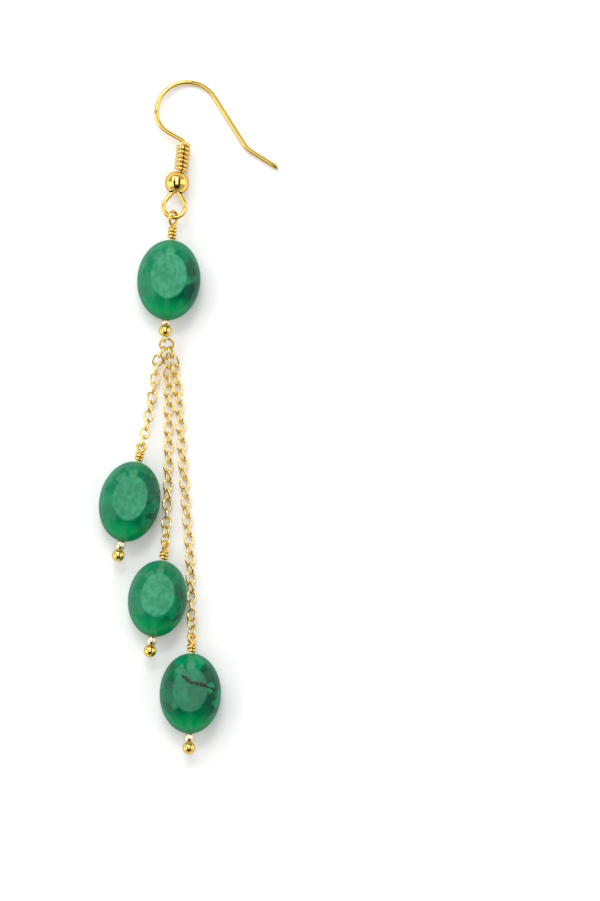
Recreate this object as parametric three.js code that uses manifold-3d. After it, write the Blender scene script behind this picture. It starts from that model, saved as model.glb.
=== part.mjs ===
// A drop earring lying on a flat surface: an ear wire with a spring coil and a ball, a faceted oval stone under it,
// and three chains of different lengths from one ring, each with a faceted oval stone at its end.
// Millimetres, +Z up from the surface, +Y towards the ear wire. The origin is under the middle of the whole.

import * as THREE from 'three';
import { mergeVertices } from 'three/addons/utils/BufferGeometryUtils.js';
import Module from 'manifold-3d';

const wasm = await Module();
wasm.setup();
const radians = THREE.MathUtils.degToRad;

// Wires
const EAR_WIRE = 0.64;
const COIL_WIRE = 0.53;
const PIN_WIRE = 0.46;
const SMALL_EYE_WIRE = 0.36;
const RING_WIRE = 0.3;
const LINK_WIRE = 0.32;

// Clearances
const SLIDE_GAP = 0.06; // along a wire, between the pieces threaded on it
const LINKED_GAP = 0.05; // between two wires that hang in each other
const BORE_PLAY = 0.1; // round a wire in its bore
const SOLDER_DEPTH = 0.05; // how far soldered wires sink into each other
const EYE_GAP = 0.25; // between the ear wire and the pin's eye that it hangs in
const DROP_GAP = 0.1; // between a chain's last link and the eye under it

// Ear wire
const EAR_BALL = 3.4;
const BALL_MOUTH_PLAY = 0.27; // extra radius of the bore where the loop comes out
const STRAND_GAP = 0.08; // between the stem and the tucked end beside it, inside the ball
const TUCKED_END = 0.9; // length of the wire's end inside the ball
const NECK_DEPTH = 1.1; // from the ball's middle down to the neck bends of the loop
const NECK_BEND_RADIUS = 0.6;
const NECK_ANGLE = 35;
const LOOP_RADIUS = 1.55;
const SHORT_BEND_RADIUS = 0.55; // above the coil
const SHORT_BEND_ANGLE = 66.5;
const ARCH_FOOT_LENGTH = 2.25;
const ARCH_FOOT_RADIUS = 3.3;
const ARCH_RADIUS = 4.52;
const ARCH_ANGLE = 141.5;
const FRONT_LENGTH = 8;
const TIP_BEND_RADIUS = 3;
const TIP_BEND_ANGLE = 25.7;
const TIP_LENGTH = 4.3;
const EAR_WIRE_LEAN = 6;
const LOOP_SAG = 0.05; // how far the loop's lowest wire lies under the pin that it hangs in
const COIL_DIAMETER = 1.97;
const COIL_PITCH = 0.605;
const COIL_TURNS = 6.2;

// Stones and the pins through them
const STONE_THICKNESS = 5.6;
const TABLE_SHARE = 0.54;
const STONE_SIDES = 16;
const STONE_BORE = 0.8;
const TUBE_DIAMETER = 1.23;
const DROP_TUBE = 1.1; // length
const END_BALL = 1.8;
const WRAP_PITCH = 0.5;
const NECK_RISE = 0.1; // of a pin's eye above the middle of its last wrap
const TOP_WRAPS = 3;
const DROP_WRAPS = 2;
const TOP_EYE = 2.6; // outer diameter
const DROP_EYE = 1.76;
const SMALL_EYE = 1.2;
const SMALL_EYE_SUNK = 0.38; // into the end ball that it is soldered to

// Ring and chains
const RING_DIAMETER = 2.27;
const RING_SLOPE = 35;
const RING_SWING = 15; // to the right, in the ring's own plane
const LINK_LENGTH = 1.945;
const LINK_WIDTH = 1.58;
const LINK_ROLL = 45;
const LYING_TURN = -16; // of the two long chains' links, so that every second one lies flatter
const LINK_SWAY = 12; // of the steeper links in the plane, away from the ends of the chain
const STILL_LINKS = 4; // at each end, without sway

// Sides of the round sections, and steps round the rings and turns
const WIRE_SIDES = 6;
const LINK_WIRE_SIDES = 5;
const THICK_WIRE_SIDES = 8;
const LINK_STEPS = 10;
const RING_STEPS = 12;
const TURN_STEPS = 10;
const BEND_STEP = 24;
const BALL_STEPS = 12;
const FITTING_PASSES = 6; // of the two fits that are found step by step

// Half profile of a stone from its girdle to its table: shares of the outline, and of the half thickness.
const STONE_BANDS = [
  { outline: 1, height: 0.25 },
  { outline: 0.84, height: 0.7 },
  { outline: TABLE_SHARE, height: 1 },
];

// "lean" turns a drop's eye to the right and "turn" rolls its eye out of the horizontal plane, in degrees.
const TOP = { width: 9.05, length: 11.5, lean: 4, turn: -55, wraps: TOP_WRAPS, eye: TOP_EYE, tube: 0.55 };
const DROPS = {
  short: { width: 8.7, length: 11.6, lean: 12, turn: 0, wraps: DROP_WRAPS, eye: DROP_EYE, tube: DROP_TUBE },
  middle: { width: 8.45, length: 11, lean: 8.2, turn: -54, wraps: DROP_WRAPS, eye: DROP_EYE, tube: DROP_TUBE },
  long: { width: 8.8, length: 11.5, lean: 1.6, turn: -30, wraps: DROP_WRAPS, eye: DROP_EYE, tube: DROP_TUBE },
};

// "from" is a chain's place on the ring, in degrees from its lowest point. The twists turn the links out of their
// lying roll at the two ends of a chain, and fade over a number of links.
const CHAINS = {
  short: { links: 11, from: -40, turn: 0, startTwist: 52, startFade: 8, endTwist: 45, endFade: 4 },
  middle: { links: 21, from: 0, turn: LYING_TURN, startTwist: 61, startFade: 1.2, endTwist: -64, endFade: 4 },
  long: { links: 31, from: 40, turn: LYING_TURN, startTwist: 42, startFade: 3, endTwist: -79, endFade: 4 },
};

// The chosen points of the chains' routes: across and along from the start of the chain, and the lift, which is 0
// where the chain lies on the surface and 1 at the height of the pins.
const ROUTES = {
  short: [
    [-1.02, -2.2, 0.24],
    [-1.25, -4.4, 0.11],
    [-1.95, -8.6, 0.11],
    [-2.35, -10.8, 0.3],
    [-2.8, -12.6, 0.72],
    [-3.15, -14.0, 1.08],
  ],
  middle: [
    [0.05, -2.2, 0.24],
    [0.15, -4.4, 0.06],
    [0.2, -8.0, 0.03],
    [0.2, -17.5, 0.03],
    [0.05, -22.5, 0.06],
    [-0.05, -24.7, 0.3],
    [-0.1, -26.4, 0.72],
    [-0.1, -27.8, 1.08],
  ],
  long: [
    [0.72, -2.2, 0.24],
    [0.98, -4.4, 0.06],
    [1.3, -8.0, 0.03],
    [2.1, -19.5, 0.03],
    [2.9, -30.0, 0.03],
    [3.1, -36.1, 0.06],
    [3.15, -38.3, 0.3],
    [3.2, -40.0, 0.72],
    [3.25, -41.4, 1.08],
  ],
};

const gold = new THREE.MeshStandardMaterial({ color: 0xe3b54a, roughness: 0.14, metalness: 1 });
const paleGold = new THREE.MeshStandardMaterial({ color: 0xf1e2b4, roughness: 0.22, metalness: 1 });
const greenStone = new THREE.MeshStandardMaterial({ color: 0x1f8a5c, roughness: 0.12, metalness: 0 });

// Joining and cutting

function toSolid(geometry) {
  const bare = new THREE.BufferGeometry();
  bare.setAttribute('position', geometry.getAttribute('position'));
  bare.setIndex(geometry.getIndex());
  const merged = mergeVertices(bare, 1e-4);
  const corners = merged.getIndex().array;
  const triVerts = [];
  for (let i = 0; i < corners.length; i += 3) {
    const [a, b, c] = corners.slice(i, i + 3);
    if (a !== b && b !== c && c !== a) triVerts.push(a, b, c);
  }
  return new wasm.Manifold(
    new wasm.Mesh({
      numProp: 3,
      vertProperties: merged.getAttribute('position').array,
      triVerts: Uint32Array.from(triVerts),
    }),
  );
}

function toGeometry(solid) {
  const { vertProperties, triVerts } = solid.getMesh();
  const geometry = new THREE.BufferGeometry();
  geometry.setAttribute('position', new THREE.BufferAttribute(vertProperties, 3));
  geometry.setIndex(new THREE.BufferAttribute(triVerts, 1));
  geometry.computeVertexNormals();
  return geometry;
}

function joined(geometries) {
  return toGeometry(geometries.map(toSolid).reduce((whole, piece) => whole.add(piece)));
}

// Wires, rings and balls

function polygon(diameter, sides, start = 0) {
  return Array.from({ length: sides }, (_, k) => {
    const angle = start + (2 * Math.PI * k) / sides;
    return new THREE.Vector2(Math.cos(angle), Math.sin(angle)).multiplyScalar(diameter / 2);
  });
}

function sweep(path, steps, diameter, sides) {
  const section = new THREE.Shape(polygon(diameter, sides));
  return new THREE.ExtrudeGeometry(section, { steps, bevelEnabled: false, extrudePath: path });
}

// A wire bent in the XY plane from a bend table. It has stations only at the ends of its runs and along its bends,
// and a positive turn bends to the left.
class BentWire extends THREE.Curve {
  constructor(start, heading, bends) {
    super();
    this.points = [];
    this.tangents = [];
    const at = start.clone();
    let angle = radians(heading);
    const aim = (turned) => new THREE.Vector3(Math.cos(turned), Math.sin(turned), 0);
    const note = () => {
      this.points.push(at.clone());
      this.tangents.push(aim(angle));
    };
    note();
    for (const { run, turn, radius } of bends) {
      if (run > 0) {
        at.addScaledVector(aim(angle), run);
        note();
      }
      const steps = Math.ceil(Math.abs(turn) / BEND_STEP);
      const side = Math.sign(turn) * (Math.PI / 2);
      for (let k = 0; k < steps; k++) {
        at.addScaledVector(aim(angle + side), radius);
        angle += radians(turn) / steps;
        at.addScaledVector(aim(angle + side), -radius);
        note();
      }
    }
    this.steps = this.points.length - 1;
  }

  getPointAt(share, target = new THREE.Vector3()) {
    return target.copy(this.points[Math.round(share * this.steps)]);
  }

  getTangentAt(share, target = new THREE.Vector3()) {
    return target.copy(this.tangents[Math.round(share * this.steps)]);
  }
}

// A helix round the Y axis.
class Helix extends THREE.Curve {
  constructor(radius, pitch, turns, base) {
    super();
    Object.assign(this, { radius, pitch, turns, base });
  }

  getPoint(share, target = new THREE.Vector3()) {
    const angle = 2 * Math.PI * this.turns * share;
    const { radius, pitch, turns, base } = this;
    return target.set(radius * Math.cos(angle), base + pitch * turns * share, radius * Math.sin(angle));
  }
}

function turnsOfWire(wire, radius, pitch, turns, base) {
  return sweep(new Helix(radius, pitch, turns, base), Math.round(turns * TURN_STEPS), wire, WIRE_SIDES);
}

// A closed wire ring in the XY plane, drawn out along Y by the given length.
function wireRing(outerDiameter, wire, steps, sides = WIRE_SIDES, drawnOut = 0) {
  const centreRadius = (outerDiameter - wire) / 2;
  const section = polygon(wire, sides, Math.PI).map((point) => point.setX(point.x + centreRadius));
  const ring = new THREE.LatheGeometry([...section, section[0]], steps).rotateX(-Math.PI / 2);
  const position = ring.getAttribute('position');
  for (let i = 0; i < position.count; i++) {
    position.setY(i, position.getY(i) + (Math.sign(position.getY(i)) * drawnOut) / 2);
  }
  return ring;
}

// A round piece on the Y axis with a bore from end to end: "profile" runs up its outside.
function boredLathe(profile, lowerBore, upperBore, steps) {
  const bottom = new THREE.Vector2(lowerBore, profile[0].y);
  const top = new THREE.Vector2(upperBore, profile[profile.length - 1].y);
  return new THREE.LatheGeometry([bottom, ...profile, top, bottom], steps);
}

// Stones and their pins, with the stone's middle at the origin, its tables level and the pin along Y

function stoneGeometry({ width, length }) {
  const front = STONE_BANDS.map(({ outline, height }) => new THREE.Vector2(outline, height));
  const back = front.map(({ x, y }) => new THREE.Vector2(x, -y)).reverse();
  const profile = [new THREE.Vector2(0, -1), ...back, ...front, new THREE.Vector2(0, 1)];
  const flatOut = 1 / Math.cos(Math.PI / STONE_SIDES);
  const blank = new THREE.LatheGeometry(profile, STONE_SIDES)
    .rotateY(Math.PI / STONE_SIDES)
    .rotateX(Math.PI / 2)
    .scale((flatOut * width) / 2, (flatOut * length) / 2, STONE_THICKNESS / 2);
  const drill = new THREE.CylinderGeometry(STONE_BORE / 2, STONE_BORE / 2, length + STONE_BORE, TURN_STEPS);
  return toGeometry(toSolid(blank).subtract(toSolid(drill)));
}

const pinBore = PIN_WIRE / 2 + BORE_PLAY;
const wrapRadius = PIN_WIRE - SOLDER_DEPTH;
const tubeTop = ({ length }) => -length / 2 - SLIDE_GAP;
const ballSeat = (stone) => tubeTop(stone) - stone.tube - SLIDE_GAP;
const ballMiddle = (stone) => ballSeat(stone) - Math.sqrt((END_BALL / 2) ** 2 - pinBore ** 2);
const wrapsBase = ({ length }) => length / 2 + SLIDE_GAP + PIN_WIRE / 2;
const eyeNeck = (stone) => wrapsBase(stone) + stone.wraps * WRAP_PITCH + NECK_RISE;
const eyeMiddle = (stone) => eyeNeck(stone) + (stone.eye - PIN_WIRE) / 2;
const smallEyeMiddle = (stone) => ballMiddle(stone) - END_BALL / 2 - SMALL_EYE / 2 + SMALL_EYE_SUNK;

function tubeGeometry(stone) {
  const outer = [ballSeat(stone) + SLIDE_GAP, tubeTop(stone)].map((y) => new THREE.Vector2(TUBE_DIAMETER / 2, y));
  return boredLathe(outer, pinBore, pinBore, BALL_STEPS);
}

function pinParts(stone) {
  const length = eyeNeck(stone) - ballMiddle(stone);
  const shank = new THREE.CylinderGeometry(PIN_WIRE / 2, PIN_WIRE / 2, length, THICK_WIRE_SIDES);
  const eye = wireRing(stone.eye, PIN_WIRE, RING_STEPS).rotateY(-radians(stone.turn));
  const neck = new THREE.CylinderGeometry(wrapRadius, wrapRadius, NECK_RISE + PIN_WIRE / 2, TURN_STEPS);
  const ball = new THREE.SphereGeometry(END_BALL / 2, BALL_STEPS, BALL_STEPS / 2);
  return [
    neck.translate(0, eyeNeck(stone) - (NECK_RISE + PIN_WIRE / 2) / 2, 0),
    shank.translate(0, ballMiddle(stone) + length / 2, 0),
    eye.translate(0, eyeMiddle(stone), 0),
    turnsOfWire(PIN_WIRE, wrapRadius, WRAP_PITCH, stone.wraps, wrapsBase(stone)),
    ball.translate(0, ballMiddle(stone), 0),
  ];
}

function smallEye(stone) {
  return wireRing(SMALL_EYE, SMALL_EYE_WIRE, RING_STEPS)
    .rotateY(Math.PI / 2)
    .translate(0, smallEyeMiddle(stone), 0);
}

// Assembly

const earring = new THREE.Group();

function mesh(name, geometry, material) {
  const made = new THREE.Mesh(geometry, material);
  made.name = name;
  return made;
}

function placedStone(stone, x, y) {
  const place = new THREE.Group();
  place.position.set(x, y, STONE_THICKNESS / 2);
  place.rotation.z = -radians(stone.lean);
  place.updateMatrixWorld(true);
  earring.add(place);
  return place;
}

const top = placedStone(TOP, 0, 0);
top.add(
  mesh('top_stone', stoneGeometry(TOP), greenStone),
  mesh('top_spacer_tube', tubeGeometry(TOP), paleGold),
  mesh('top_eye_pin', joined([...pinParts(TOP), smallEye(TOP)]), gold),
);

// Ear wire: the ball's middle is the origin of its plane, and the stem and the coil stand beside the middle line.

const strand = (EAR_WIRE + STRAND_GAP) / 2;
const upperBore = strand + EAR_WIRE / 2 + BORE_PLAY;
const lowerBore = upperBore + BALL_MOUTH_PLAY;
const coilRadius = (COIL_DIAMETER - COIL_WIRE) / 2;
const coilBase = Math.sqrt((EAR_BALL / 2 + COIL_WIRE / 2 + SLIDE_GAP) ** 2 - upperBore ** 2);
const coilTop = coilBase + COIL_TURNS * COIL_PITCH;

function earWirePath() {
  const neck = radians(NECK_ANGLE);
  const aside = LOOP_RADIUS * Math.cos(neck) - NECK_BEND_RADIUS * (1 - Math.cos(neck)) - strand;
  const flank = aside / Math.sin(neck);
  return new BentWire(new THREE.Vector3(-strand, TUCKED_END - NECK_DEPTH, 0), -90, [
    { run: TUCKED_END, turn: -NECK_ANGLE, radius: NECK_BEND_RADIUS },
    { run: flank, turn: 180 + 2 * NECK_ANGLE, radius: LOOP_RADIUS },
    { run: flank, turn: -NECK_ANGLE, radius: NECK_BEND_RADIUS },
    { run: NECK_DEPTH + coilTop + SLIDE_GAP, turn: SHORT_BEND_ANGLE, radius: SHORT_BEND_RADIUS },
    { run: ARCH_FOOT_LENGTH, turn: -SHORT_BEND_ANGLE, radius: ARCH_FOOT_RADIUS },
    { run: 0, turn: -ARCH_ANGLE, radius: ARCH_RADIUS },
    { run: FRONT_LENGTH, turn: TIP_BEND_ANGLE, radius: TIP_BEND_RADIUS },
    { run: TIP_LENGTH, turn: 0, radius: 0 },
  ]);
}

function earBallGeometry() {
  const radius = EAR_BALL / 2;
  const low = -Math.acos(lowerBore / radius);
  const high = Math.acos(upperBore / radius);
  const profile = Array.from({ length: BALL_STEPS / 2 + 1 }, (_, k) => {
    const angle = low + ((high - low) * k) / (BALL_STEPS / 2);
    return new THREE.Vector2(radius * Math.cos(angle), radius * Math.sin(angle));
  });
  return boredLathe(profile, lowerBore, upperBore, BALL_STEPS);
}

// The ear wire's plane slopes from the loop, which hangs in the eye of the top pin, down to the arch and the tip,
// which touch the surface. The slopes are the falls in height for a millimetre along and across the plane.
function layEarWire(wire) {
  const loopFoot = wire.points.reduce((low, point) => (point.y < low.y ? point : low));
  const tip = wire.points[wire.points.length - 1];
  const arch = wire.points.slice(0, -1);
  const hangHeight = STONE_THICKNESS / 2 - LOOP_SAG;
  const fall = hangHeight - EAR_WIRE / 2;
  let along = 0;
  let across = 0;
  let lowest = arch.reduce((high, point) => (point.y > high.y ? point : high));
  for (let pass = 0; pass < FITTING_PASSES; pass++) {
    const archRise = lowest.y - loopFoot.y;
    const tipRise = tip.y - loopFoot.y;
    along = fall * (tip.x - lowest.x) / (archRise * tip.x - tipRise * lowest.x);
    across = (fall - along * tipRise) / tip.x;
    lowest = arch.reduce((low, point) =>
      point.x * across + point.y * along > low.x * across + low.y * along ? point : low,
    );
  }
  const plane = new THREE.Group();
  const pitch = Math.asin(along);
  plane.rotation.set(-pitch, Math.asin(across / Math.cos(pitch)), -radians(EAR_WIRE_LEAN), 'ZXY');
  const hook = (TOP_EYE - PIN_WIRE - PIN_WIRE - EAR_WIRE) / 2 - EYE_GAP;
  const hang = top.localToWorld(new THREE.Vector3(0, eyeMiddle(TOP) + hook, -LOOP_SAG));
  plane.position.copy(hang).sub(new THREE.Vector3(0, loopFoot.y, 0).applyEuler(plane.rotation));
  return plane;
}

const earWire = earWirePath();
const earPlane = layEarWire(earWire);
const coil = turnsOfWire(COIL_WIRE, coilRadius, COIL_PITCH, COIL_TURNS, coilBase).translate(strand, 0, 0);
earPlane.add(
  mesh('ear_wire', sweep(earWire, earWire.steps, EAR_WIRE, THICK_WIRE_SIDES), gold),
  mesh('ear_wire_coil', coil, gold),
  mesh('ear_wire_ball', earBallGeometry(), gold),
);
earring.add(earPlane);

// Jump ring, sloping down from the small eye under the top stone

const ringRadius = (RING_DIAMETER - RING_WIRE) / 2;
const ringSide = new THREE.Vector3(1, 0, 0);
const ringDown = new THREE.Vector3(0, -Math.cos(radians(RING_SLOPE)), -Math.sin(radians(RING_SLOPE)));
const onRing = (degrees) =>
  new THREE.Vector3()
    .addScaledVector(ringSide, Math.sin(radians(degrees)))
    .addScaledVector(ringDown, Math.cos(radians(degrees)));
const eyeSlack = SMALL_EYE / 2 - SMALL_EYE_WIRE - RING_WIRE / 2 - LINKED_GAP;
const ringTop = top.localToWorld(new THREE.Vector3(0, smallEyeMiddle(TOP) - eyeSlack, 0));
const jumpRing = mesh('jump_ring', wireRing(RING_DIAMETER, RING_WIRE, RING_STEPS), gold);
jumpRing.rotation.x = radians(RING_SLOPE);
jumpRing.position.copy(ringTop).addScaledVector(onRing(RING_SWING), ringRadius);
earring.add(jumpRing);

// Chains, each of links that hang in each other and are joined where they touch

const linkReach = LINK_LENGTH - LINK_WIRE;
const linkPitch = linkReach - LINK_WIRE + SOLDER_DEPTH;
const steepest = radians(LINK_ROLL + Math.abs(LYING_TURN));
const lyingHeight = ((LINK_WIDTH - LINK_WIRE) / 2) * Math.sin(steepest) + LINK_WIRE / 2;

function chainStart(from) {
  const inset = (RING_WIRE + LINK_WIRE) / 2 + LINKED_GAP;
  return jumpRing.position.clone().addScaledVector(onRing(from), ringRadius - inset);
}

// The route keeps its shape and is drawn out in the plane until it is as long as its links.
function chainRoute(start, points, links) {
  const wanted = (links - 1) * linkPitch + linkReach;
  let stretch = 1;
  let route;
  for (let pass = 0; pass < FITTING_PASSES; pass++) {
    const places = points.map(([across, along, lift]) => {
      const height = lyingHeight + lift * (STONE_THICKNESS / 2 - lyingHeight);
      return new THREE.Vector3(start.x + stretch * across, start.y + stretch * along, height);
    });
    route = new THREE.CatmullRomCurve3([start, ...places]);
    stretch *= wanted / route.getLength();
  }
  return route;
}

function twistOf(chain, index) {
  const fade = (count, over) => Math.max(0, 1 - (count / over) ** 2);
  const left = chain.links - 1 - index;
  return chain.turn + chain.startTwist * fade(index, chain.startFade) + chain.endTwist * fade(left, chain.endFade);
}

function swayOf(chain, index) {
  const free = Math.min(index, chain.links - 1 - index) >= STILL_LINKS;
  return chain.turn && free && index % 2 ? radians(LINK_SWAY) : 0;
}

function chainGeometry(chain, route) {
  const links = Array.from({ length: chain.links }, (_, index) => {
    const share = (linkReach / 2 + index * linkPitch) / route.getLength();
    const along = route.getTangentAt(share).applyAxisAngle(new THREE.Vector3(0, 0, 1), swayOf(chain, index));
    const side = new THREE.Vector3().crossVectors(along, new THREE.Vector3(0, 0, 1)).normalize();
    const roll = (index % 2 ? -LINK_ROLL : LINK_ROLL) + twistOf(chain, index);
    const across = side.applyAxisAngle(along, -radians(roll));
    const normal = new THREE.Vector3().crossVectors(across, along);
    const place = new THREE.Matrix4().makeBasis(across, along, normal).setPosition(route.getPointAt(share));
    const link = wireRing(LINK_WIDTH, LINK_WIRE, LINK_STEPS, LINK_WIRE_SIDES, LINK_LENGTH - LINK_WIDTH);
    return link.applyMatrix4(place);
  });
  return joined(links);
}

for (const [name, chain] of Object.entries(CHAINS)) {
  const stone = DROPS[name];
  const route = chainRoute(chainStart(chain.from), ROUTES[name], chain.links);
  earring.add(mesh(`chain_${name}`, chainGeometry(chain, route), gold));

  const hung = (PIN_WIRE + LINK_WIRE) / 2 + DROP_GAP;
  const eyeTop = route.getPointAt(1).addScaledVector(route.getTangentAt(1), -hung);
  const reach = eyeMiddle(stone) + (stone.eye - PIN_WIRE) / 2;
  const lean = radians(stone.lean);
  const drop = placedStone(stone, eyeTop.x - reach * Math.sin(lean), eyeTop.y - reach * Math.cos(lean));
  drop.add(
    mesh(`${name}_stone`, stoneGeometry(stone), greenStone),
    mesh(`${name}_spacer_tube`, tubeGeometry(stone), paleGold),
    mesh(`${name}_head_pin`, joined(pinParts(stone)), gold),
  );
}

const bounds = new THREE.Box3().setFromObject(earring, true);
const middle = bounds.getCenter(new THREE.Vector3());
earring.position.set(-middle.x, -middle.y, -bounds.min.z);

const group = new THREE.Group();
group.add(earring);

export default group;
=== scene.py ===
# A gold drop earring with green stones, lying on a white surface. Lengths are in millimetres until a mesh is
# made, and the middle of the top stone is the origin until then.

import bmesh
import bpy
import numpy as np
from mathutils import Matrix, Vector


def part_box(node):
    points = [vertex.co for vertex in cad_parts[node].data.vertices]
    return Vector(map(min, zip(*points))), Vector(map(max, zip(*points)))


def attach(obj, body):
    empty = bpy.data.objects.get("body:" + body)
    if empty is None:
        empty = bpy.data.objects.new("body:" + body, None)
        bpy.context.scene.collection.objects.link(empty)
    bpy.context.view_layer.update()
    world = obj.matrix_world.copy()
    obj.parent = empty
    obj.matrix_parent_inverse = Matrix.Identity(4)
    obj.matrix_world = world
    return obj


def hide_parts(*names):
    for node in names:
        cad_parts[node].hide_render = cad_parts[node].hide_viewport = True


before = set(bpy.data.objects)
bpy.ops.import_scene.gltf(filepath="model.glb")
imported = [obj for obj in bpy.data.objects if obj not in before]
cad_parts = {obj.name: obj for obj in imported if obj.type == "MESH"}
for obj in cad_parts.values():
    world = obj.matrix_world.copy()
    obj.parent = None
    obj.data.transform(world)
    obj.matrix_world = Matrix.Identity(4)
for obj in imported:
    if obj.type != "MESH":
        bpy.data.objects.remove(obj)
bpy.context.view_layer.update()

MM = 0.001
X, Y, Z = np.eye(3)

# Wires
EAR_WIRE = 0.64
COIL_WIRE = 0.53
PIN_WIRE = 0.46
SMALL_EYE_WIRE = 0.36
RING_WIRE = 0.3
LINK_WIRE = 0.32

# Clearances
SLIDE_GAP = 0.06
LINKED_GAP = 0.05
BORE_PLAY = 0.1
SOLDER_DEPTH = 0.05
EYE_GAP = 0.25
DROP_GAP = 0.1

# Ear wire
EAR_BALL = 3.4
BALL_MOUTH_PLAY = 0.27
STRAND_GAP = 0.08
TUCKED_END = 0.9
NECK_DEPTH = 1.1
NECK_BEND_RADIUS = 0.6
NECK_ANGLE = 35
LOOP_RADIUS = 1.55
SHORT_BEND_RADIUS = 0.55
SHORT_BEND_ANGLE = 66.5
ARCH_FOOT_LENGTH = 2.25
ARCH_FOOT_RADIUS = 3.3
ARCH_RADIUS = 4.52
ARCH_ANGLE = 141.5
FRONT_LENGTH = 8
TIP_BEND_RADIUS = 3
TIP_BEND_ANGLE = 25.7
TIP_LENGTH = 4.3
EAR_WIRE_LEAN = 6
LOOP_SAG = 0.05
COIL_DIAMETER = 1.97
COIL_PITCH = 0.605
COIL_TURNS = 6.2
BORE_EDGE = 0.05

# Stones and the pins through them
STONE_THICKNESS = 5.6
TABLE_SHARE = 0.54
STONE_BORE = 0.8
TUBE_DIAMETER = 1.23
DROP_TUBE = 1.1
END_BALL = 1.8
WRAP_PITCH = 0.5
NECK_RISE = 0.1
TUBE_CHAMFER = 0.08
DRILL_OVERSHOOT = 1
STONE_EDGE_ROUND = 0.05
STONE_EDGE_ANGLE = 6
FLAT_ANGLE = 1.5
FACET_ANGLE = 7
TOP_EYE = 2.6
DROP_EYE = 1.76
SMALL_EYE = 1.2
SMALL_EYE_SUNK = 0.38
EYE_ROUND = 0.84  # radius of an eye's round part, as a share of the plain ring that it stands for

# Ring and chains
RING_DIAMETER = 2.27
RING_SLOPE = 35
RING_SWING = 15
LINK_LENGTH = 1.945
LINK_WIDTH = 1.58
LINK_ROLL = 45
LYING_TURN = -16
LINK_SWAY = 12
STILL_LINKS = 4

# Steps
WIRE_SIDES = 16
LINK_SIDES = 12
ROUND_STEPS = 48
LINK_STEPS = 28
TURN_STEPS = 36
COARSE_BEND_STEP = 24
BEND_STEP = 4
RUN_STEPS = 4
BALL_STEPS = 28
BALL_LATITUDE = 88
WIRE_END_ANGLES = (25, 50, 72, 86)
LEG_SHARES = (0.0, 0.33, 0.66)
STEEP = 0.9
FITTING_PASSES = 6
CURVE_STEPS = 200
CURVE_NUDGE = 1e-4

TOP = {"width": 9.05, "length": 11.5, "lean": 4, "turn": -55, "wraps": 3, "eye": TOP_EYE, "tube": 0.55}
DROPS = {
    "short": {"width": 8.7, "length": 11.6, "lean": 12, "turn": 0},
    "middle": {"width": 8.45, "length": 11, "lean": 8.2, "turn": -54},
    "long": {"width": 8.8, "length": 11.5, "lean": 1.6, "turn": -30},
}
for drop in DROPS.values():
    drop.update(wraps=2, eye=DROP_EYE, tube=DROP_TUBE)

CHAINS = {
    "short": {"links": 11, "from": -40, "turn": 0, "start": (52, 8), "end": (45, 4)},
    "middle": {"links": 21, "from": 0, "turn": LYING_TURN, "start": (61, 1.2), "end": (-64, 4)},
    "long": {"links": 31, "from": 40, "turn": LYING_TURN, "start": (42, 3), "end": (-79, 4)},
}
ROUTES = {
    "short": [
        (-1.02, -2.2, 0.24),
        (-1.25, -4.4, 0.11),
        (-1.95, -8.6, 0.11),
        (-2.35, -10.8, 0.3),
        (-2.8, -12.6, 0.72),
        (-3.15, -14.0, 1.08),
    ],
    "middle": [
        (0.05, -2.2, 0.24),
        (0.15, -4.4, 0.06),
        (0.2, -8.0, 0.03),
        (0.2, -17.5, 0.03),
        (0.05, -22.5, 0.06),
        (-0.05, -24.7, 0.3),
        (-0.1, -26.4, 0.72),
        (-0.1, -27.8, 1.08),
    ],
    "long": [
        (0.72, -2.2, 0.24),
        (0.98, -4.4, 0.06),
        (1.3, -8.0, 0.03),
        (2.1, -19.5, 0.03),
        (2.9, -30.0, 0.03),
        (3.1, -36.1, 0.06),
        (3.15, -38.3, 0.3),
        (3.2, -40.0, 0.72),
        (3.25, -41.4, 1.08),
    ],
}


def unit(vector):
    return vector / np.linalg.norm(vector)


def spin(axis, degrees):
    return np.array(Matrix.Rotation(np.radians(degrees), 3, Vector(axis)))


# Shapes: each is a list of points and a list of faces


def moved(shape, rotation=None, by=(0, 0, 0)):
    points, faces = shape
    points = np.asarray(points, float)
    if rotation is not None:
        points = points @ np.asarray(rotation).T
    return points + np.asarray(by, float), faces


def tube(path, wire, sides=WIRE_SIDES, closed=False):
    """A round wire along a path, with rounded ends where the path is open."""
    path = np.asarray(path, float)
    radius = wire / 2
    if closed:
        tangents = np.roll(path, -1, 0) - np.roll(path, 1, 0)
    else:
        tangents = np.gradient(path, axis=0)
    tangents /= np.linalg.norm(tangents, axis=1)[:, None]
    rings = [(path[k], tangents[k], radius) for k in range(len(path))]
    if not closed:
        steps = [(np.sin(a) * radius, np.cos(a) * radius) for a in np.radians(WIRE_END_ANGLES)]
        foot = [(path[0] - tangents[0] * out, tangents[0], size) for out, size in reversed(steps)]
        head = [(path[-1] + tangents[-1] * out, tangents[-1], size) for out, size in steps]
        rings = foot + rings + head
    normal = unit(np.cross(rings[0][1], Z if abs(rings[0][1][2]) < STEEP else X))
    angles = 2 * np.pi * np.arange(sides) / sides
    points = []
    for place, tangent, size in rings:
        normal = unit(normal - tangent * normal.dot(tangent))
        other = np.cross(tangent, normal)
        points += [place + size * (np.cos(a) * normal + np.sin(a) * other) for a in angles]
    faces = []
    count = len(rings)
    for i in range(count if closed else count - 1):
        for j in range(sides):
            a, b = i * sides + j, i * sides + (j + 1) % sides
            c, d = ((i + 1) % count) * sides + (j + 1) % sides, ((i + 1) % count) * sides + j
            faces.append((a, b, c, d))
    if not closed:
        faces += [tuple(range(sides))[::-1], tuple((count - 1) * sides + j for j in range(sides))]
    return np.array(points), faces


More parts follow.
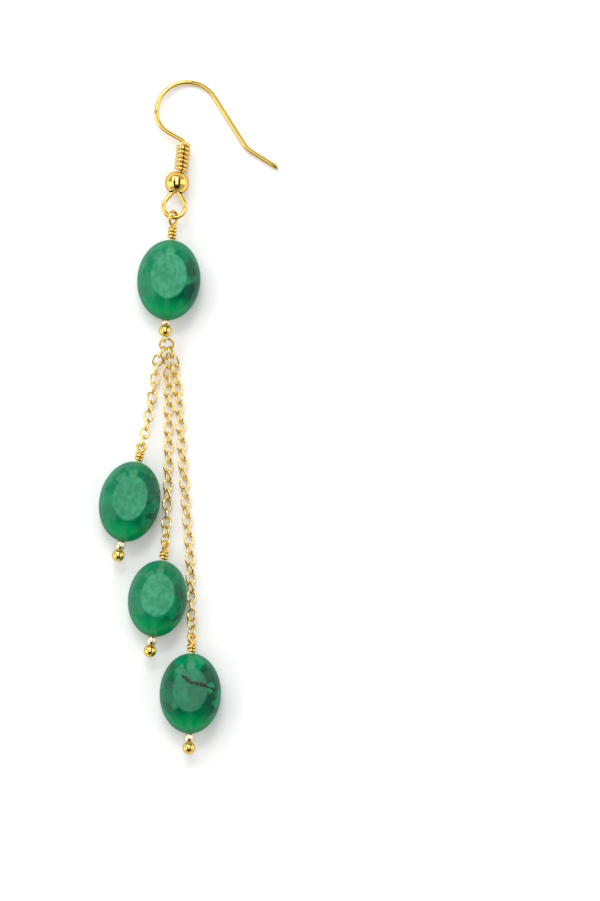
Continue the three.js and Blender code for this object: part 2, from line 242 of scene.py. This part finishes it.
def ring_path(outer, wire, steps, drawn_out=0.0):
    radius = (outer - wire) / 2
    angles = 2 * np.pi * (np.arange(steps) + 0.5) / steps
    across, along = radius * np.sin(angles), radius * np.cos(angles)
    return np.stack([across, along + np.sign(along) * drawn_out / 2, 0 * across], 1)


def eye_path(outer, wire):
    """A loop bent from the pin's own wire: its legs close at the neck, which is the origin."""
    whole = (outer - wire) / 2
    radius = whole * EYE_ROUND
    middle = 2 * whole - radius
    start = np.arccos(radius / middle)
    angles = np.linspace(start - np.pi / 2, 1.5 * np.pi - start, ROUND_STEPS)
    arc = [(radius * np.cos(a), middle + radius * np.sin(a), 0) for a in angles]
    legs = [np.array(arc[0]) * share for share in LEG_SHARES]
    back = [np.array(arc[-1]) * share for share in LEG_SHARES[::-1]]
    return np.array([*legs, *arc, *back])


def helix(wire, radius, pitch, turns, base):
    angles = np.linspace(0, 2 * np.pi * turns, int(turns * TURN_STEPS) + 1)
    rise = base + pitch * angles / (2 * np.pi)
    path = np.stack([radius * np.cos(angles), rise, radius * np.sin(angles)], 1)
    return tube(path, wire)


def lathe(profile, steps=ROUND_STEPS, closed=True):
    """A closed profile of (radius, height) turned round the Y axis; it goes up the outside."""
    count = len(profile)
    points, faces = [], []
    for k in range(steps):
        angle = 2 * np.pi * k / steps
        points += [(r * np.cos(angle), h, r * np.sin(angle)) for r, h in profile]
    for k in range(steps):
        here, there = k * count, ((k + 1) % steps) * count
        for i in range(count if closed else count - 1):
            j = (i + 1) % count
            faces.append((here + i, here + j, there + j, there + i))
    return np.array(points), faces


def ball(diameter, centre):
    heights = np.radians(np.linspace(-BALL_LATITUDE, BALL_LATITUDE, ROUND_STEPS // 2))
    profile = [(diameter / 2 * np.cos(a), centre + diameter / 2 * np.sin(a)) for a in heights]
    points, faces = lathe(profile, closed=False)
    count = len(profile)
    faces += [tuple(k * count for k in range(ROUND_STEPS))]
    faces += [tuple(k * count + count - 1 for k in range(ROUND_STEPS))[::-1]]
    return points, faces


# Materials


def node(tree, kind, inputs=(), **settings):
    made = tree.nodes.new(kind)
    for name, value in settings.items():
        setattr(made, name, value)
    for key, value in dict(inputs).items():
        if isinstance(value, bpy.types.NodeSocket):
            tree.links.new(value, made.inputs[key])
        else:
            made.inputs[key].default_value = value
    return made


def math(tree, operation, *values, clamp=False):
    return node(tree, "ShaderNodeMath", enumerate(values), operation=operation, use_clamp=clamp).outputs[0]


def mix(tree, share, first, second):
    made = node(tree, "ShaderNodeMix", {0: share, 6: first, 7: second}, data_type="RGBA")
    return made.outputs[2]


def smooth_step(tree, value, low, high):
    inputs = {0: value, 1: low, 2: high, 3: 0.0, 4: 1.0}
    return node(tree, "ShaderNodeMapRange", inputs, interpolation_type="SMOOTHSTEP").outputs[0]


def vector(tree, operation, inputs, output="Vector"):
    return node(tree, "ShaderNodeVectorMath", inputs, operation=operation).outputs[output]


def noise(tree, place, scale, detail, output=0):
    inputs = {"Vector": place, "Scale": scale, "Detail": detail}
    return node(tree, "ShaderNodeTexNoise", inputs).outputs[output]


def new_material(name, inputs):
    made = bpy.data.materials.new(name)
    made.use_nodes = True
    for key, value in inputs.items():
        made.node_tree.nodes["Principled BSDF"].inputs[key].default_value = value
    return made


def plain(name, colour, roughness):
    return new_material(name, {"Base Color": (*colour, 1), "Roughness": roughness})


METAL_EDGE = (0.4, 0.3, 0.15, 1)


def metal(name, colour, roughness):
    look = {"Base Color": (*colour, 1), "Metallic": 1, "Specular Tint": METAL_EDGE, "Roughness": roughness}
    return new_material(name, look)


GOLD = metal("gold", (0.93, 0.63, 0.17), 0.06)
# Painted light: the chains have the earring's gold made paler, standing in for the highlights on their small
# links.
CHAIN_LIT_GOLD = metal("chain_lit_gold", (0.97, 0.74, 0.3), 0.06)
PALE_GOLD = metal("pale_gold", (0.95, 0.84, 0.56), 0.14)

TABLE_GREEN = (0.009, 0.22, 0.095, 1)
TABLE_PALE = (0.04, 0.33, 0.17, 1)
BAND_GREEN = (0.0005, 0.22, 0.085, 1)
BAND_DARK = (0.0003, 0.065, 0.03, 1)
# Painted light: brighter green at the stone's lower end, for light reflected inside the stone.
FOOT_LIGHT_GREEN = (0.0005, 0.3, 0.08, 1)
# Painted light: the green round the outline, for light coming through the stone's edge.
RIM_LIGHT_GREEN = (0.003, 0.16, 0.08, 1)
# Painted light: a pale glow along the drill channel.
BORE_GLOW_GREEN = (0.06, 0.3, 0.12, 1)
VEIN = (0.006, 0.008, 0.003, 1)

STONE_LOOK = {
    "Roughness": 0.3,
    "Specular IOR Level": 0,
    "Subsurface Weight": 0.15,
    "Subsurface Radius": (0.3, 1.0, 0.5),
    "Subsurface Scale": 0.8 * MM,
    "Coat Weight": 0.65,
    "Coat Roughness": 0.03,
    "Coat IOR": 1.4,
}

# Scale and detail of the noises in a stone, and the scale of its cells
PATCHES = (0.42, 3.0)
GRAIN = (1.5, 7.0)
VEIN_NOISE = (2.0, 4.0)
CELL_SCALE = 0.5
GLINT_SCALE = 0.55

# How much each pattern counts
PATCH_SHARE, GLINT_SHARE, CELL_SHARE = 0.65, 0.35, 0.2
SLANT = 0.35
FOOT_LIGHT_SHARE = 0.85
TABLE_SHARE_OF_COLOUR = 0.2
RIM_LIGHT_SHARE = 0.6
BORE_GLOW_SHARE = 0.22
VEIN_WANDER = 0.8

# Where each pattern begins and is whole
BAND_RANGE = (0.35, 0.68)
# Where the band's painted light on the left gives way to its painted shade on the right
LEFT_LIGHT_RIGHT_SHADE_RANGE = (-0.5, 0.8)
FOOT_LIGHT_RANGE = (0.35, 0.8)
MILKY_RANGE = (0.42, 0.78)
TABLE_RANGE = (0.965, 0.99)
RIM_LIGHT_RANGE = (0.86, 0.99)
BORE_GLOW_RANGE = (0.3, 0.5)
BORE_GLOW_END_RANGE = (0.2, 0.9)
VEIN_BREAK_RANGE = (0.3, 0.5)
VEIN_CORE, VEIN_REACH = 0.45, 1.25


def vein(tree, colour, place, seeded, grain, piece):
    """One run of a dark vein laid over a stone's colour."""
    start, end, thickness, strength = piece
    start = Vector((*start, 0))
    run = Vector((*end, 0)) - start
    flat = vector(tree, "MULTIPLY", {0: place, 1: (1, 1, 0)})
    wander = vector(tree, "SUBTRACT", {0: noise(tree, seeded, *VEIN_NOISE, output=1), 1: (0.5, 0.5, 0)})
    flat = vector(tree, "MULTIPLY_ADD", {0: wander, 1: (VEIN_WANDER, VEIN_WANDER, 0), 2: flat})
    away = vector(tree, "SUBTRACT", {0: flat, 1: start})
    share = vector(tree, "DOT_PRODUCT", {0: away, 1: run / run.length_squared}, "Value")
    share = math(tree, "MULTIPLY", share, 1.0, clamp=True)
    nearest = vector(tree, "SCALE", {0: run, 3: share})
    gap = vector(tree, "DISTANCE", {0: away, 1: nearest}, "Value")
    shown = math(tree, "SUBTRACT", 1.0, smooth_step(tree, gap, thickness * VEIN_CORE, thickness * VEIN_REACH))
    shown = math(tree, "MULTIPLY", shown, smooth_step(tree, grain, *VEIN_BREAK_RANGE))
    return mix(tree, math(tree, "MULTIPLY", shown, strength), colour, VEIN)


def stone_material(name, stone, seed, milk_and_left_light, veins=()):
    """Green stone: a dark band round a milky table, painted light on the band's left and painted shade on its
    right, a painted glow at the lower end, painted light round the outline, a painted glow along the bore,
    and veins.
    """
    made = new_material(name, STONE_LOOK)
    tree = made.node_tree
    place = node(tree, "ShaderNodeTexCoord").outputs["Object"]
    upright = {"Vector": place, "Angle": float(np.radians(stone["lean"]))}
    place = node(tree, "ShaderNodeVectorRotate", upright, rotation_type="Z_AXIS").outputs[0]
    place = vector(tree, "SCALE", {0: place, 3: 1 / MM})
    xyz = node(tree, "ShaderNodeSeparateXYZ", {0: place}).outputs
    across = math(tree, "DIVIDE", xyz[0], stone["width"] / 2)
    along = math(tree, "DIVIDE", xyz[1], stone["length"] / 2)
    height = math(tree, "ABSOLUTE", math(tree, "DIVIDE", xyz[2], STONE_THICKNESS / 2))
    squares = [math(tree, "POWER", share, 2.0) for share in (across, along)]
    out = math(tree, "SQRT", math(tree, "ADD", *squares))

    seeded = vector(tree, "ADD", {0: place, 1: (seed, 2 * seed, seed)})
    patches = noise(tree, seeded, *PATCHES)
    grain = noise(tree, seeded, *GRAIN)
    smooth = {"Vector": seeded, "Scale": CELL_SCALE}
    cells = node(tree, "ShaderNodeTexVoronoi", smooth, feature="SMOOTH_F1").outputs[0]
    glints = node(tree, "ShaderNodeTexVoronoi", {"Vector": seeded, "Scale": GLINT_SCALE}).outputs["Color"]
    glints = node(tree, "ShaderNodeSeparateXYZ", {0: glints}).outputs[0]

    glints = math(tree, "MULTIPLY", glints, GLINT_SHARE)
    depth = math(tree, "ADD", math(tree, "MULTIPLY", patches, PATCH_SHARE), glints)
    band = mix(tree, smooth_step(tree, depth, *BAND_RANGE), BAND_DARK, BAND_GREEN)
    # Painted light and shade: the band goes towards the table's green on the left and stays dark on the
    # right, slanting with the length, as much as the milkiness setting says.
    slanted = math(tree, "SUBTRACT", across, math(tree, "MULTIPLY", along, SLANT))
    left = math(tree, "SUBTRACT", 1.0, smooth_step(tree, slanted, *LEFT_LIGHT_RIGHT_SHADE_RANGE))
    band = mix(tree, math(tree, "MULTIPLY", left, milk_and_left_light), band, TABLE_GREEN)
    # Painted light: the band turns brighter green towards the stone's lower end.
    foot = smooth_step(tree, math(tree, "MULTIPLY", along, -1.0), *FOOT_LIGHT_RANGE)
    band = mix(tree, math(tree, "MULTIPLY", foot, FOOT_LIGHT_SHARE), band, FOOT_LIGHT_GREEN)

    milky = math(tree, "ADD", grain, math(tree, "MULTIPLY", cells, CELL_SHARE))
    milky = smooth_step(tree, milky, *MILKY_RANGE)
    table = mix(tree, milky, TABLE_GREEN, TABLE_PALE)
    on_table = smooth_step(tree, height, *TABLE_RANGE)
    colour = mix(tree, math(tree, "MULTIPLY", on_table, TABLE_SHARE_OF_COLOUR + milk_and_left_light), band, table)
    # Painted light round the stone's outline.
    rim_light = math(tree, "MULTIPLY", smooth_step(tree, out, *RIM_LIGHT_RANGE), RIM_LIGHT_SHARE)
    colour = mix(tree, rim_light, colour, RIM_LIGHT_GREEN)
    # Painted light: a glow along the drill channel, stronger towards both ends.
    aside = smooth_step(tree, math(tree, "ABSOLUTE", xyz[0]), *BORE_GLOW_RANGE)
    near_end = smooth_step(tree, math(tree, "ABSOLUTE", along), *BORE_GLOW_END_RANGE)
    bore = math(tree, "MULTIPLY", math(tree, "SUBTRACT", 1.0, aside), near_end)
    colour = mix(tree, math(tree, "MULTIPLY", bore, BORE_GLOW_SHARE), colour, BORE_GLOW_GREEN)
    for piece in veins:
        colour = vein(tree, colour, place, seeded, grain, piece)
    tree.links.new(colour, tree.nodes["Principled BSDF"].inputs["Base Color"])
    return made


# Objects

shift = np.array([(low + high) / 2 for low, high in zip(*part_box("top_stone"))]) / MM


def linked(name, data):
    made = bpy.data.objects.new(name, data)
    bpy.context.scene.collection.objects.link(made)
    return made


def add(name, shapes, material, nodes, place=None, smooth_angle=60):
    """One piece from its shapes: "place" is its rotation and position, and it stands for the CAD nodes.

    The rotation goes into the points, so that the box of the piece is its true one."""
    rotation, position = place or (np.eye(3), np.zeros(3))
    points, faces = [], []
    for shape_points, shape_faces in shapes:
        faces += [tuple(len(points) + i for i in face) for face in shape_faces]
        points += [tuple(rotation @ np.asarray(p) * MM) for p in shape_points]
    mesh = bpy.data.meshes.new(name)
    mesh.from_pydata(points, [], faces)
    mesh.validate()
    mesh.polygons.foreach_set("use_smooth", [True] * len(mesh.polygons))
    mesh.set_sharp_from_angle(angle=np.radians(smooth_angle))
    mesh.materials.append(material)
    made = linked(name + "_fine", mesh)
    made.matrix_world = Matrix.Translation(Vector((position + shift) * MM))
    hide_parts(*nodes)
    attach(made, "root")
    return made


def recalculated(made):
    """Turns the faces of a piece outwards."""
    work = bmesh.new()
    work.from_mesh(made.data)
    bmesh.ops.recalc_face_normals(work, faces=work.faces)
    work.to_mesh(made.data)
    work.free()
    return made


# Rows of corners on each side of a stone: share of the outline, share of the half thickness, number of
# corners, first corner, and how far the front's row sits towards the upper end.
STONE_ROWS = (
    (1.0, 0.1, 72, 0, 0),
    (0.985, 0.28, 72, 0, 0),
    (0.87, 0.66, 16, 0.5, 0.12),
    (0.74, 0.85, 16, 0, 0.35),
    (TABLE_SHARE, 1, 40, 0, 0.6),
)


def stone_hull(stone):
    """Points of a faceted oval: a smooth girdle, two rows of corners and a flat oval table on each side."""
    a, b, c = stone["width"] / 2, stone["length"] / 2, STONE_THICKNESS / 2
    points = []
    for side in (-1, 1):
        for share, height, count, start, rise in STONE_ROWS:
            for k in range(count):
                angle = 2 * np.pi * (k + start) / count
                up = rise if side == 1 else 0
                points.append((share * a * np.cos(angle), share * b * np.sin(angle) + up, side * height * c))
    return points


def add_stone(name, stone, place, material):
    """A stone with its hull of facets, its bore and its rounded edges."""
    work = bmesh.new()
    for point in stone_hull(stone):
        work.verts.new(Vector(point) * MM)
    bmesh.ops.convex_hull(work, input=work.verts)
    bmesh.ops.dissolve_limit(work, angle_limit=np.radians(FLAT_ANGLE), verts=work.verts, edges=work.edges)
    mesh = bpy.data.meshes.new(name)
    work.to_mesh(mesh)
    work.free()
    blank = linked(name + "_blank", mesh)
    rod = bpy.data.meshes.new("drill")
    radius, reach = STONE_BORE / 2, stone["length"] / 2 + DRILL_OVERSHOOT
    points, faces = lathe([(radius, -reach), (radius, reach)], closed=False)
    faces += [tuple(2 * k for k in range(ROUND_STEPS)), tuple(2 * k + 1 for k in range(ROUND_STEPS))[::-1]]
    rod.from_pydata([tuple(np.asarray(p) * MM) for p in points], [], faces)
    drill = linked("drill", rod)
    recalculated(drill)
    cut = blank.modifiers.new("bore", "BOOLEAN")
    cut.operation = "DIFFERENCE"
    cut.object = drill
    cut.solver = "EXACT"
    bevel = blank.modifiers.new("edges", "BEVEL")
    bevel.width = STONE_EDGE_ROUND * MM
    bevel.segments = 2
    bevel.limit_method = "ANGLE"
    bevel.angle_limit = np.radians(STONE_EDGE_ANGLE)
    bpy.context.view_layer.update()
    ready = blank.evaluated_get(bpy.context.evaluated_depsgraph_get())
    points = [np.array(v.co) / MM for v in ready.data.vertices]
    faces = [tuple(p.vertices) for p in ready.data.polygons]
    bpy.data.objects.remove(blank)
    bpy.data.objects.remove(drill)
    return add(name, [(points, faces)], material, [name], place, FACET_ANGLE)


# Stones and their pins, with the stone's middle at the origin, its tables level and the pin along Y

pin_bore = PIN_WIRE / 2 + BORE_PLAY
wrap_radius = PIN_WIRE - SOLDER_DEPTH


def heights(stone):
    seat = -stone["length"] / 2 - 2 * SLIDE_GAP - stone["tube"]
    middle = seat - np.sqrt((END_BALL / 2) ** 2 - pin_bore**2)
    wraps = stone["length"] / 2 + SLIDE_GAP + PIN_WIRE / 2
    neck = wraps + stone["wraps"] * WRAP_PITCH + NECK_RISE
    return {
        "tube_low": seat + SLIDE_GAP,
        "tube_high": -stone["length"] / 2 - SLIDE_GAP,
        "ball": middle,
        "wraps": wraps,
        "neck": neck,
        "eye": neck + (stone["eye"] - PIN_WIRE) / 2,
        "small_eye": middle - END_BALL / 2 - SMALL_EYE / 2 + SMALL_EYE_SUNK,
    }


def pin_shapes(stone):
    at = heights(stone)
    turned = spin(Y, -stone["turn"])
    shank = tube([Y * at["ball"], Y * (at["ball"] + at["neck"]) / 2, Y * at["neck"]], PIN_WIRE)
    wraps = helix(PIN_WIRE, wrap_radius, WRAP_PITCH, stone["wraps"], at["wraps"])
    eye = moved(tube(eye_path(stone["eye"], PIN_WIRE), PIN_WIRE), turned, Y * at["neck"])
    return [shank, wraps, eye, ball(END_BALL, at["ball"])]


def tube_shape(stone):
    at = heights(stone)
    low, high, outer, edge = at["tube_low"], at["tube_high"], TUBE_DIAMETER / 2, TUBE_CHAMFER
    foot = [(pin_bore, low), (outer - edge, low), (outer, low + edge)]
    head = [(outer, high - edge), (outer - edge, high), (pin_bore, high)]
    return lathe([*foot, *head])


def add_tube(name, stone, place):
    recalculated(add(name, [tube_shape(stone)], PALE_GOLD, [name], place))


def place_of(stone, x, y):
    return spin(Z, -stone["lean"]), np.array([x, y, 0.0])


# Runs of the long stone's dark vein: start, end, thickness and strength
VEINS = (
    ((-1.0, 2.5), (0.2, 1.6), 0.26, 1.0),
    ((0.2, 1.6), (2.0, 1.3), 0.34, 1.0),
    ((2.0, 1.3), (3.3, 0.7), 0.26, 0.95),
)

# The top stone's seed, and how milky its table is and how much painted light lies on its band's left side
TOP_SEED, TOP_MILK_AND_LEFT_LIGHT = 3.0, 0.75

top_place = place_of(TOP, 0, 0)
top_at = heights(TOP)
add_stone("top_stone", TOP, top_place, stone_material("top_green", TOP, TOP_SEED, TOP_MILK_AND_LEFT_LIGHT))
small_eye = tube(ring_path(SMALL_EYE, SMALL_EYE_WIRE, ROUND_STEPS), SMALL_EYE_WIRE, closed=True)
small_eye = moved(moved(small_eye, spin(Y, 90)), by=Y * top_at["small_eye"])
add("top_eye_pin", [*pin_shapes(TOP), small_eye], GOLD, ["top_eye_pin"], top_place)
add_tube("top_spacer_tube", TOP, top_place)

# Ear wire

strand = (EAR_WIRE + STRAND_GAP) / 2
upper_bore = strand + EAR_WIRE / 2 + BORE_PLAY
lower_bore = upper_bore + BALL_MOUTH_PLAY
coil_base = np.sqrt((EAR_BALL / 2 + COIL_WIRE / 2 + SLIDE_GAP) ** 2 - upper_bore**2)
coil_top = coil_base + COIL_TURNS * COIL_PITCH


def bent_wire(start, heading, bends, step):
    at, angle = np.array(start, float), np.radians(heading)

    def aim(turned):
        return np.array([np.cos(turned), np.sin(turned), 0])

    points = [at.copy()]
    for run, turn, radius in bends:
        for _ in range(RUN_STEPS if run > 0 else 0):
            at = at + aim(angle) * run / RUN_STEPS
            points.append(at.copy())
        steps = int(np.ceil(abs(turn) / step))
        side = np.sign(turn) * np.pi / 2
        for _ in range(steps):
            at = at + radius * aim(angle + side)
            angle += np.radians(turn) / steps
            at = at - radius * aim(angle + side)
            points.append(at.copy())
    return np.array(points)


def ear_wire_path(step):
    neck = np.radians(NECK_ANGLE)
    aside = LOOP_RADIUS * np.cos(neck) - NECK_BEND_RADIUS * (1 - np.cos(neck)) - strand
    flank = aside / np.sin(neck)
    bends = [
        (TUCKED_END, -NECK_ANGLE, NECK_BEND_RADIUS),
        (flank, 180 + 2 * NECK_ANGLE, LOOP_RADIUS),
        (flank, -NECK_ANGLE, NECK_BEND_RADIUS),
        (NECK_DEPTH + coil_top + SLIDE_GAP, SHORT_BEND_ANGLE, SHORT_BEND_RADIUS),
        (ARCH_FOOT_LENGTH, -SHORT_BEND_ANGLE, ARCH_FOOT_RADIUS),
        (0, -ARCH_ANGLE, ARCH_RADIUS),
        (FRONT_LENGTH, TIP_BEND_ANGLE, TIP_BEND_RADIUS),
        (TIP_LENGTH, 0, 0),
    ]
    return bent_wire((-strand, TUCKED_END - NECK_DEPTH, 0), -90, bends, step)


def ear_wire_place(path):
    """The wire's plane slopes from the loop, hung in the top eye, to the arch and the tip on the surface."""
    foot = path[path[:, 1].argmin()]
    tip = path[-1]
    fall = STONE_THICKNESS / 2 - LOOP_SAG - EAR_WIRE / 2
    lowest = path[path[:, 1].argmax()]
    for _ in range(FITTING_PASSES):
        arch_rise, tip_rise = lowest[1] - foot[1], tip[1] - foot[1]
        along = fall * (tip[0] - lowest[0]) / (arch_rise * tip[0] - tip_rise * lowest[0])
        across = (fall - along * tip_rise) / tip[0]
        lowest = path[(path[:-1, 0] * across + path[:-1, 1] * along).argmax()]
    pitch = np.arcsin(along)
    tilt = np.arcsin(across / np.cos(pitch))
    rotation = spin(Z, -EAR_WIRE_LEAN) @ spin(X, -np.degrees(pitch)) @ spin(Y, np.degrees(tilt))
    hook = (TOP_EYE - PIN_WIRE - PIN_WIRE - EAR_WIRE) / 2 - EYE_GAP
    hang = top_place[0] @ np.array([0, top_at["eye"] + hook, -LOOP_SAG])
    return rotation, hang - rotation @ np.array([0, foot[1], 0])


ear_place = ear_wire_place(ear_wire_path(COARSE_BEND_STEP))
add("ear_wire", [tube(ear_wire_path(BEND_STEP), EAR_WIRE)], GOLD, ["ear_wire"], ear_place)
coil = helix(COIL_WIRE, (COIL_DIAMETER - COIL_WIRE) / 2, COIL_PITCH, COIL_TURNS, coil_base)
coil = moved(coil, by=X * strand)
add("ear_wire_coil", [coil], GOLD, ["ear_wire_coil"], ear_place)

radius = EAR_BALL / 2
low, high = -np.arccos(lower_bore / radius), np.arccos(upper_bore / radius)
outside = [(radius * np.cos(a), radius * np.sin(a)) for a in np.linspace(low, high, BALL_STEPS)]
bored = [(lower_bore, outside[0][1] + BORE_EDGE), *outside, (upper_bore, outside[-1][1] - BORE_EDGE)]
recalculated(add("ear_wire_ball", [lathe(bored)], GOLD, ["ear_wire_ball"], ear_place))

# Jump ring

ring_radius = (RING_DIAMETER - RING_WIRE) / 2
ring_down = -np.cos(np.radians(RING_SLOPE)) * Y - np.sin(np.radians(RING_SLOPE)) * Z


def on_ring(degrees):
    return np.sin(np.radians(degrees)) * X + np.cos(np.radians(degrees)) * ring_down


eye_slack = SMALL_EYE / 2 - SMALL_EYE_WIRE - RING_WIRE / 2 - LINKED_GAP
ring_top = top_place[0] @ np.array([0, top_at["small_eye"] - eye_slack, 0])
ring_middle = ring_top + ring_radius * on_ring(RING_SWING)
ring = tube(ring_path(RING_DIAMETER, RING_WIRE, ROUND_STEPS), RING_WIRE, closed=True)
add("jump_ring", [ring], GOLD, ["jump_ring"], (spin(X, RING_SLOPE), ring_middle))

# Chains

link_reach = LINK_LENGTH - LINK_WIRE
link_pitch = link_reach - LINK_WIRE + SOLDER_DEPTH
floor_level = -STONE_THICKNESS / 2
steepest = np.radians(LINK_ROLL + abs(LYING_TURN))
lying_height = floor_level + (LINK_WIDTH - LINK_WIRE) / 2 * np.sin(steepest) + LINK_WIRE / 2


class Route:
    """A centripetal Catmull-Rom curve through points, measured along its length."""

    def __init__(self, points):
        points = np.asarray(points, float)
        self.points = np.array([2 * points[0] - points[1], *points, 2 * points[-1] - points[-2]])
        self.shares = np.linspace(0, 1, CURVE_STEPS + 1)
        path = np.array([self.at(t) for t in self.shares])
        self.lengths = np.concatenate([[0], np.cumsum(np.linalg.norm(np.diff(path, axis=0), axis=1))])
        self.length = self.lengths[-1]

    def at(self, t):
        spans = len(self.points) - 3
        index = min(int(t * spans), spans - 1)
        weight = t * spans - index
        p0, p1, p2, p3 = self.points[index : index + 4]
        d0, d1, d2 = (np.sqrt(np.linalg.norm(b - a)) for a, b in ((p0, p1), (p1, p2), (p2, p3)))
        t1 = ((p1 - p0) / d0 - (p2 - p0) / (d0 + d1) + (p2 - p1) / d1) * d1
        t2 = ((p2 - p1) / d1 - (p3 - p1) / (d1 + d2) + (p3 - p2) / d2) * d1
        c2, c3 = -3 * p1 + 3 * p2 - 2 * t1 - t2, 2 * p1 - 2 * p2 + t1 + t2
        return p1 + t1 * weight + c2 * weight**2 + c3 * weight**3

    def place(self, share):
        t = np.interp(share * self.length, self.lengths, self.shares)
        before, after = max(t - CURVE_NUDGE, 0), min(t + CURVE_NUDGE, 1)
        return self.at(t), unit(self.at(after) - self.at(before))


def chain_route(start, points, links):
    wanted = (links - 1) * link_pitch + link_reach
    stretch = 1.0
    for _ in range(FITTING_PASSES):
        places = [
            (start[0] + stretch * across, start[1] + stretch * along, lying_height - lift * lying_height)
            for across, along, lift in points
        ]
        route = Route([start, *places])
        stretch *= wanted / route.length
    return route


def chain_shapes(chain, route):
    path = ring_path(LINK_WIDTH, LINK_WIRE, LINK_STEPS, LINK_LENGTH - LINK_WIDTH)
    link = tube(path, LINK_WIRE, LINK_SIDES, closed=True)
    shapes = []
    for index in range(chain["links"]):
        middle, along = route.place((link_reach / 2 + index * link_pitch) / route.length)
        left = chain["links"] - 1 - index
        if chain["turn"] and index % 2 and min(index, left) >= STILL_LINKS:
            along = spin(Z, LINK_SWAY) @ along
        side = unit(np.cross(along, Z))
        twist = chain["turn"]
        for (degrees, fade), links in ((chain["start"], index), (chain["end"], left)):
            twist += degrees * max(0, 1 - (links / fade) ** 2)
        roll = (-LINK_ROLL if index % 2 else LINK_ROLL) + twist
        across = spin(along, -roll) @ side
        shapes.append(moved(link, np.stack([across, along, np.cross(across, along)], 1), middle))
    return shapes


# Each lower stone's seed, how milky its table is and how much painted light lies on its band's left side, and
# its veins
SEEDS = {"short": (11.0, 0.5, ()), "middle": (23.0, 0.7, ()), "long": (31.0, 0.15, VEINS)}
for name, chain in CHAINS.items():
    stone = DROPS[name]
    inset = (RING_WIRE + LINK_WIRE) / 2 + LINKED_GAP
    hung = ring_middle + on_ring(chain["from"]) * (ring_radius - inset)
    route = chain_route(hung, ROUTES[name], chain["links"])
    add(f"chain_{name}", chain_shapes(chain, route), CHAIN_LIT_GOLD, [f"chain_{name}"])
    end, along = route.place(1)
    eye_top = end - along * ((PIN_WIRE + LINK_WIRE) / 2 + DROP_GAP)
    reach = heights(stone)["eye"] + (stone["eye"] - PIN_WIRE) / 2
    lean = np.radians(stone["lean"])
    place = place_of(stone, eye_top[0] - reach * np.sin(lean), eye_top[1] - reach * np.cos(lean))
    seed, milk_and_left_light, veins = SEEDS[name]
    add_stone(f"{name}_stone", stone, place, stone_material(f"{name}_green", stone, seed, milk_and_left_light, veins))
    add(f"{name}_head_pin", pin_shapes(stone), GOLD, [f"{name}_head_pin"], place)
    add_tube(f"{name}_spacer_tube", stone, place)

# Surface, lights and camera


def facing(place, down=False):
    """Where a card or a light stands, turned to the earring, its own Y axis as near to +Y as it can be."""
    away = unit(np.asarray(place, float)) if down else Z
    across = unit(np.cross(Y, away))
    turn = np.stack([across, np.cross(away, across), away], 1)
    return Matrix.Translation(Vector(place)) @ Matrix(turn).to_4x4()


def card(name, size, place, material, overhead=False):
    """A flat sheet round the earring. One that is overhead shows in reflections only."""
    mesh = bpy.data.meshes.new(name)
    w, h = size[0] / 2, size[1] / 2
    mesh.from_pydata([(-w, -h, 0), (w, -h, 0), (w, h, 0), (-w, h, 0)], [], [(0, 1, 2, 3)])
    mesh.materials.append(material)
    made = linked(name, mesh)
    made.matrix_world = facing(place, overhead)
    if overhead:
        for ray in ("camera", "diffuse", "shadow", "transmission"):
            setattr(made, f"visible_{ray}", False)


card("surface", (3, 3), (0, 0, 0), plain("white_surface", (0.93, 0.93, 0.93), 0.6))


def from_overhead(tilt, towards, distance):
    """A place round the earring: tilt from straight above, towards a direction in the plane (90 is +Y)."""
    tilt, towards = np.radians(tilt), np.radians(towards)
    return distance * np.array([np.sin(tilt) * np.cos(towards), np.sin(tilt) * np.sin(towards), np.cos(tilt)])


CARD_DISTANCE = 0.5
dark = plain("dark_card", (0.01, 0.008, 0.006), 0.9)
for name, size, tilt, towards in (
    ("black_card", (0.4, 0.4), 40, -90),
    ("left_strip", (0.13, 1.6), 24, 180),
    ("right_strip", (0.13, 1.6), 28, 0),
):
    card(name, size, from_overhead(tilt, towards, CARD_DISTANCE), dark, overhead=True)


def softbox(name, tilt, towards, distance, size, power):
    light = bpy.data.lights.new(name, "AREA")
    light.shape = "RECTANGLE"
    light.size, light.size_y = size
    light.energy = power
    made = linked(name, light)
    made.matrix_world = facing(from_overhead(tilt, towards, distance), down=True)


softbox("panel", 44, 112, 0.9, (0.9, 0.7), 5.2)
softbox("overhead", 3, 90, 0.9, (0.3, 0.42), 0.7)
softbox("lamp", 33, 96, 0.9, (0.16, 0.12), 0.8)
softbox("left_fill", 66, 190, 1.0, (1.2, 0.7), 3.2)
softbox("right_fill", 66, 10, 1.0, (1.2, 0.7), 2.6)

ROOM_LIGHT = 0.52
world = bpy.data.worlds.new("room")
world.use_nodes = True
background = world.node_tree.nodes["Background"]
background.inputs["Color"].default_value = (1, 1, 1, 1)
background.inputs["Strength"].default_value = ROOM_LIGHT
bpy.context.scene.world = world
bpy.context.scene.view_settings.view_transform = "Standard"

# Seven pixels of the photograph are one millimetre, at the height of the picture plane above the surface.
PIXELS = 7.0
PHOTO_SIZE = (600, 901)
TOP_STONE_PIXEL = (168.9, 280.2)
PICTURE_PLANE = 2
LENS, SENSOR = 300, 36
NEAR_LIMIT = 0.01
frame_height = PHOTO_SIZE[1] / PIXELS * MM
camera_data = bpy.data.cameras.new("camera")
camera_data.lens = LENS
camera_data.sensor_width = SENSOR
camera_data.clip_start = NEAR_LIMIT
camera = linked("camera", camera_data)
camera.location = (
    (shift[0] + (PHOTO_SIZE[0] / 2 - TOP_STONE_PIXEL[0]) / PIXELS) * MM,
    (shift[1] - (PHOTO_SIZE[1] / 2 - TOP_STONE_PIXEL[1]) / PIXELS) * MM,
    PICTURE_PLANE * MM + frame_height * LENS / SENSOR,
)
bpy.context.scene.camera = camera
